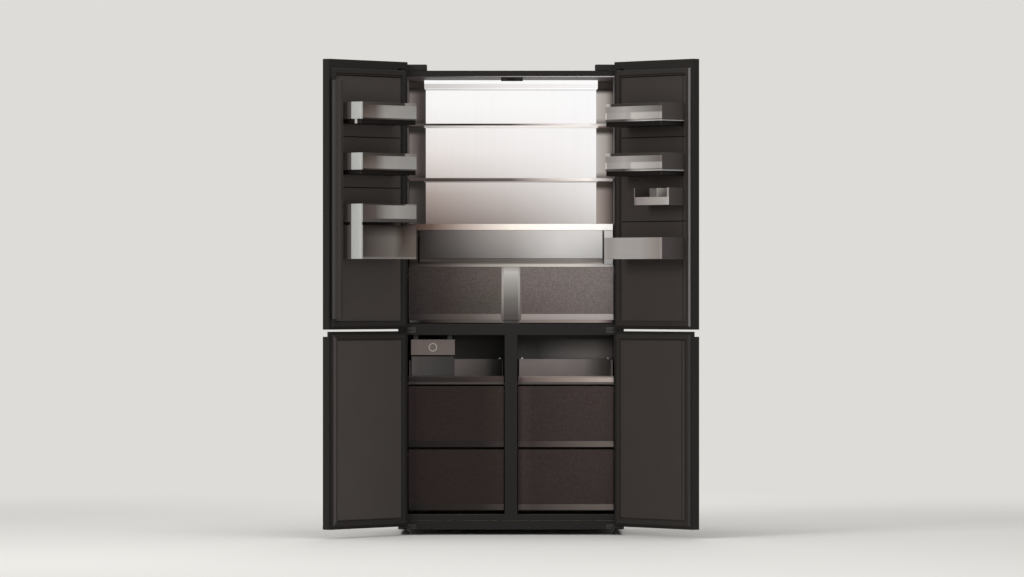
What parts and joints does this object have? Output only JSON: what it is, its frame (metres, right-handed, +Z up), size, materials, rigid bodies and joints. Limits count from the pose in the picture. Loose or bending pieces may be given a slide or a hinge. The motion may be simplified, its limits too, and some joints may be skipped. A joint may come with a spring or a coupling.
{
  "type": "refrigerator",
  "caption": "Free-standing cross-door refrigerator with its doors open: shelves, crisper and drawers above, split freezer with drawers, trays and an ice maker below.",
  "frame": {"origin": "on the floor, under the middle of the box round the refrigerator with its doors open", "axes": "+X to the right as seen from the front, +Y from the doors to the back, +Z up"},
  "size_m": [1.4906, 0.9826, 1.9],
  "materials": {
    "door_steel": "dark satin coating",
    "cabinet_steel": "dark satin coating",
    "galvanised": "grey coated steel",
    "foam": "rigid insulating foam",
    "cabinet_liner": "satin taupe-grey plastic",
    "frame": "satin black-brown",
    "door_liner": "satin dark taupe plastic",
    "gasket": "soft dark grey",
    "black_plastic": "satin black",
    "black_steel": "satin black",
    "hinge_steel": "zinc-plated steel",
    "coil_metal": "bare",
    "clear_shelf": "clear toughened glass",
    "trim": "champagne satin",
    "lamp": "lit opal",
    "duct": "satin taupe",
    "bin": "metallic light grey",
    "box": "metallic warm grey",
    "crisper_grey": "semi-gloss grey",
    "dark_drawer": "speckled dark brown",
    "lit_drawer": "speckled brown",
    "column_grey": "metallic grey",
    "tray_dark": "satin brown",
    "tray_light": "satin champagne",
    "ice_taupe": "satin taupe",
    "smoked": "smoked glossy"
  },
  "bodies": {
    "cabinet": {"cabinet_shell": "cabinet_steel", "rear_panel": "galvanised", "cabinet_foam": "foam", "fridge_liner": "cabinet_liner", "freezer_liners": "cabinet_liner", "face_frame": "frame", "feet": "black_plastic", "top_hinges": "hinge_steel", "lower_hinges": "hinge_steel", "hinge_covers": "cabinet_steel", "rear_cover": "galvanised", "compressor": "black_steel", "condenser": "coil_metal", "drip_tray": "galvanised", "control_box": "black_plastic", "cord_gland": "gasket", "evaporators": "coil_metal", "freezer_back_covers": "cabinet_liner", "duct_panel": "duct", "light_panels": "lamp", "shelf_glass": "clear_shelf", "shelf_trims": "trim", "crisper_frame": "cabinet_liner", "centre_column": "column_grey", "ice_maker": "ice_taupe"},
    "door_upper_left": {"door_ul_casing": "door_steel", "door_ul_foam": "foam", "door_ul_liner": "door_liner", "door_ul_gasket": "gasket", "bins_left": "bin", "two_tier_box": "box"},
    "door_upper_right": {"door_ur_casing": "door_steel", "door_ur_foam": "foam", "door_ur_liner": "door_liner", "door_ur_gasket": "gasket", "bins_right": "bin", "small_bin": "box", "low_bin": "bin"},
    "door_lower_left": {"door_ll_casing": "door_steel", "door_ll_foam": "foam", "door_ll_liner": "door_liner", "door_ll_gasket": "gasket"},
    "door_lower_right": {"door_lr_casing": "door_steel", "door_lr_foam": "foam", "door_lr_liner": "door_liner", "door_lr_gasket": "gasket"},
    "flip_bar": {"flip_mullion": "black_plastic"},
    "crisper": {"crisper_drawer": "crisper_grey"},
    "drawer_left": {"drawer_left": "dark_drawer"},
    "drawer_right": {"drawer_right": "lit_drawer"},
    "tray_left": {"tray_left": "tray_dark", "ice_bin": "smoked"},
    "tray_right": {"tray_right": "tray_light"},
    "freezer_drawer_upper_left": {"freezer_drawer_upper_left": "dark_drawer"},
    "freezer_drawer_upper_right": {"freezer_drawer_upper_right": "lit_drawer"},
    "freezer_drawer_lower_left": {"freezer_drawer_lower_left": "dark_drawer"},
    "freezer_drawer_lower_right": {"freezer_drawer_lower_right": "lit_drawer"},
    "condenser_fan": {"condenser_fan": "black_plastic"},
    "fridge_fan": {"fridge_fan": "black_plastic"},
    "freezer_fan": {"freezer_fan": "black_plastic"}
  },
  "joints": [
    {"name": "door_upper_left_hinge", "type": "hinge", "parent": "cabinet", "child": "door_upper_left", "pos_m": [-0.439, -0.11067, 1.364], "axis": [0, 0, -1], "range_deg": [-132.5, 2.5]},
    {"name": "door_upper_right_hinge", "type": "hinge", "parent": "cabinet", "child": "door_upper_right", "pos_m": [0.439, -0.11067, 1.364], "axis": [0, 0, 1], "range_deg": [-132.5, 2.5]},
    {"name": "door_lower_left_hinge", "type": "hinge", "parent": "cabinet", "child": "door_lower_left", "pos_m": [-0.439, -0.11067, 0.428], "axis": [0, 0, -1], "range_deg": [-132.5, 2.5]},
    {"name": "door_lower_right_hinge", "type": "hinge", "parent": "cabinet", "child": "door_lower_right", "pos_m": [0.439, -0.11067, 0.428], "axis": [0, 0, 1], "range_deg": [-132.5, 2.5]},
    {"name": "flip_bar_pivot", "type": "hinge", "parent": "door_upper_left", "child": "flip_bar", "pos_m": [-0.6986, -0.44652, 1.339], "axis": [0, 0, 1], "range_deg": [-90, 0]},
    {"name": "crisper_slide", "type": "slide", "parent": "cabinet", "child": "crisper", "axis": [0, -1, 0], "range_m": [0, 0.3]},
    {"name": "drawer_left_slide", "type": "slide", "parent": "cabinet", "child": "drawer_left", "axis": [0, -1, 0], "range_m": [0, 0.3]},
    {"name": "drawer_right_slide", "type": "slide", "parent": "cabinet", "child": "drawer_right", "axis": [0, -1, 0], "range_m": [0, 0.3]},
    {"name": "tray_left_slide", "type": "slide", "parent": "cabinet", "child": "tray_left", "axis": [0, -1, 0], "range_m": [0, 0.3]},
    {"name": "tray_right_slide", "type": "slide", "parent": "cabinet", "child": "tray_right", "axis": [0, -1, 0], "range_m": [0, 0.3]},
    {"name": "freezer_drawer_upper_left_slide", "type": "slide", "parent": "cabinet", "child": "freezer_drawer_upper_left", "axis": [0, -1, 0], "range_m": [0, 0.33]},
    {"name": "freezer_drawer_upper_right_slide", "type": "slide", "parent": "cabinet", "child": "freezer_drawer_upper_right", "axis": [0, -1, 0], "range_m": [0, 0.33]},
    {"name": "freezer_drawer_lower_left_slide", "type": "slide", "parent": "cabinet", "child": "freezer_drawer_lower_left", "axis": [0, -1, 0], "range_m": [0, 0.23]},
    {"name": "freezer_drawer_lower_right_slide", "type": "slide", "parent": "cabinet", "child": "freezer_drawer_lower_right", "axis": [0, -1, 0], "range_m": [0, 0.23]},
    {"name": "condenser_fan_spin", "type": "hinge", "parent": "cabinet", "child": "condenser_fan", "pos_m": [-0.07, 0.39933, 0.125], "axis": [1, 0, 0], "continuous": true},
    {"name": "fridge_fan_spin", "type": "hinge", "parent": "cabinet", "child": "fridge_fan", "pos_m": [0, 0.42833, 1.3], "axis": [0, 1, 0], "continuous": true},
    {"name": "freezer_fan_spin", "type": "hinge", "parent": "cabinet", "child": "freezer_fan", "pos_m": [-0.239, 0.42833, 0.652], "axis": [0, 1, 0], "continuous": true}
  ]
}
